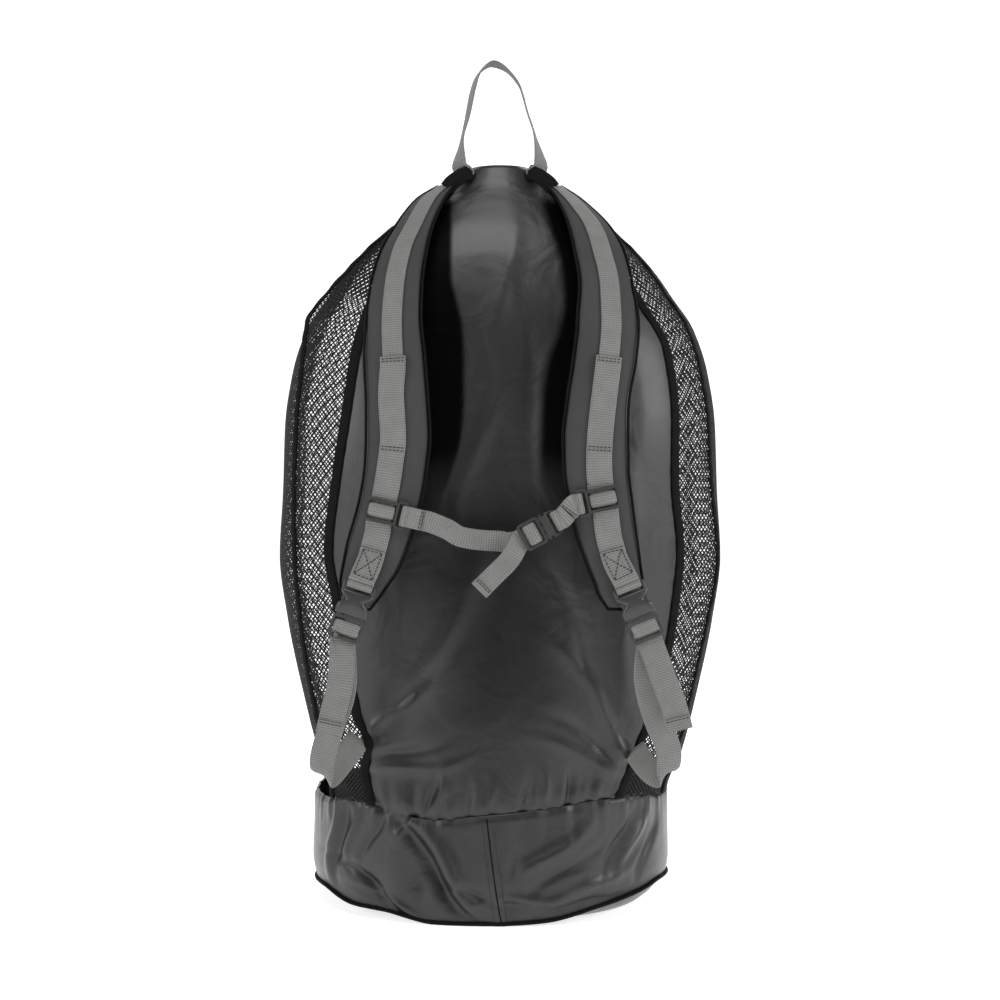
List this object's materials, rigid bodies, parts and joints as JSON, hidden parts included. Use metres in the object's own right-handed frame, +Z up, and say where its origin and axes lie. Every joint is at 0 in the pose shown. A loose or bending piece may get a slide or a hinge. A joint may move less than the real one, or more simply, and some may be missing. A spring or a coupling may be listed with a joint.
{
  "type": "mesh dive gear backpack",
  "caption": "Tall mesh dive gear backpack standing on a coated fabric base, with a back panel, padded shoulder straps, sternum strap, side-release buckles and a top carry handle.",
  "frame": {"origin": "middle of the flat underside of the base floor, on the ground", "axes": "+Z up, -Y towards the back panel and shoulder straps, +X to the right seen from the straps"},
  "size_m": [0.4748, 0.3834, 0.8852],
  "materials": {
    "coated_cloth": "coated plain weave with a soft gloss",
    "net": "black knotted polyester net, matte",
    "tape": "black woven edge tape, matte",
    "pad_cloth": "matte plain weave over foam",
    "webbing": "grey ribbed polyester webbing, matte",
    "plastic": "moulded acetal, fine satin"
  },
  "bodies": {
    "root": {"base_floor": "coated_cloth", "base_band": "coated_cloth", "base_rim": "tape", "back_panel": "coated_cloth", "panel_binding_left": "tape", "panel_binding_right": "tape", "mesh_side_left": "net", "mesh_side_right": "net", "mesh_front": "net", "mesh_seam_left": "tape", "mesh_seam_right": "tape", "mouth_hem": "tape", "carry_handle": "webbing", "strap_anchor_left": "tape", "strap_anchor_right": "tape", "shoulder_pad_left": "pad_cloth", "shoulder_pad_right": "pad_cloth", "pad_binding_left": "tape", "pad_binding_right": "tape", "upper_webbing_left": "webbing", "upper_webbing_right": "webbing", "lower_webbing_left": "webbing", "lower_webbing_right": "webbing", "sternum_slider_left": "plastic", "sternum_slider_right": "plastic", "sternum_strap_left": "webbing", "sternum_strap_right": "webbing", "sternum_buckle_socket": "plastic", "sternum_buckle_plug": "plastic", "buckle_socket_left": "plastic", "buckle_socket_right": "plastic", "buckle_plug_left": "plastic", "buckle_plug_right": "plastic", "lower_strap_left": "webbing", "lower_strap_right": "webbing"}
  },
  "joints": []
}
